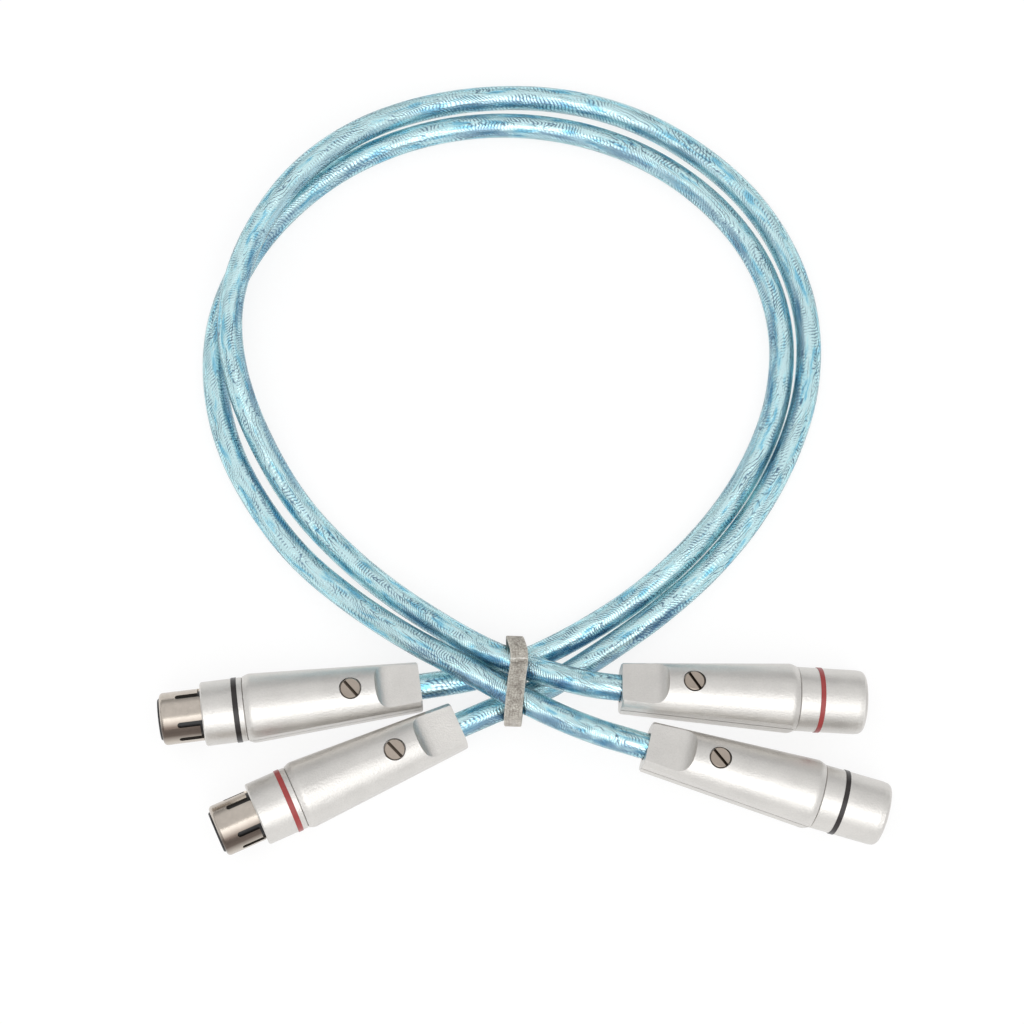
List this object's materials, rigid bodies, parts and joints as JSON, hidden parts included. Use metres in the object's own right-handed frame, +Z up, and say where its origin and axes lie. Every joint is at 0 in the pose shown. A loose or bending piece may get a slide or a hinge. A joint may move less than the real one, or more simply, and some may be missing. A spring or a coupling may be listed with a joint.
{
  "type": "audio cable coil",
  "caption": "Balanced audio cables in clear blue jackets with satin metal plugs and sockets, laid in a round loop and held by a grey textile strap.",
  "frame": {"origin": "middle of the whole set's bounding box, on the table it lies on", "axes": "+Z up from the table; +Y from the connectors towards the far side of the loop; +X to the right as the picture shows it, towards the plugs"},
  "size_m": [0.2218, 0.2538, 0.0242],
  "materials": {
    "cable_jacket": "clear ice-blue jacket, glossy, over a silvery wound foil",
    "satin_nickel": "satin pearl nickel plating",
    "bright_nickel": "bright nickel plating",
    "screw_steel": "satin steel",
    "contact_gold": "gold-plated brass",
    "insert_black": "fine matt",
    "core_plastic": "smooth",
    "ring_red": "semi-gloss",
    "ring_black": "semi-gloss",
    "strap_fabric": "brushed hook-and-loop textile, warm grey"
  },
  "bodies": {
    "coil": {"black_cable": "cable_jacket", "black_female_barrel": "bright_nickel", "black_female_collar": "satin_nickel", "black_female_colour_ring": "ring_black", "black_female_cores": "core_plastic", "black_female_housing_lower": "satin_nickel", "black_female_housing_upper": "satin_nickel", "black_female_insert": "insert_black", "black_female_socket_1": "contact_gold", "black_female_socket_2": "contact_gold", "black_female_socket_3": "contact_gold", "black_male_colour_ring": "ring_black", "black_male_cores": "core_plastic", "black_male_housing_lower": "satin_nickel", "black_male_housing_upper": "satin_nickel", "black_male_insert": "insert_black", "black_male_pin_1": "contact_gold", "black_male_pin_2": "contact_gold", "black_male_pin_3": "contact_gold", "black_male_shell": "satin_nickel", "cable_tie": "strap_fabric", "red_cable": "cable_jacket", "red_female_barrel": "bright_nickel", "red_female_collar": "satin_nickel", "red_female_colour_ring": "ring_red", "red_female_cores": "core_plastic", "red_female_housing_lower": "satin_nickel", "red_female_housing_upper": "satin_nickel", "red_female_insert": "insert_black", "red_female_socket_1": "contact_gold", "red_female_socket_2": "contact_gold", "red_female_socket_3": "contact_gold", "red_male_colour_ring": "ring_red", "red_male_cores": "core_plastic", "red_male_housing_lower": "satin_nickel", "red_male_housing_upper": "satin_nickel", "red_male_insert": "insert_black", "red_male_pin_1": "contact_gold", "red_male_pin_2": "contact_gold", "red_male_pin_3": "contact_gold", "red_male_shell": "satin_nickel"},
    "black_female_screw": {"black_female_clamp_screw": "screw_steel"},
    "red_female_screw": {"red_female_clamp_screw": "screw_steel"},
    "red_male_screw": {"red_male_clamp_screw": "screw_steel"},
    "black_male_screw": {"black_male_clamp_screw": "screw_steel"}
  },
  "joints": [
    {"name": "black_female_screw_turn", "type": "hinge", "parent": "coil", "child": "black_female_screw", "pos_m": [-0.05206, -0.07752, 0.01559], "axis": [0.0433, 0.094, 0.9946], "range_deg": [0, 360]},
    {"name": "red_female_screw_turn", "type": "hinge", "parent": "coil", "child": "red_female_screw", "pos_m": [-0.03843, -0.09604, 0.01562], "axis": [0.0582, 0.0074, 0.9983], "range_deg": [0, 360]},
    {"name": "red_male_screw_turn", "type": "hinge", "parent": "coil", "child": "red_male_screw", "pos_m": [0.05158, -0.0765, 0.02087], "axis": [0.1, 0.2549, 0.9618], "range_deg": [0, 360]},
    {"name": "black_male_screw_turn", "type": "hinge", "parent": "coil", "child": "black_male_screw", "pos_m": [0.05865, -0.09966, 0.02158], "axis": [0.1493, 0.157, 0.9762], "range_deg": [0, 360]}
  ]
}
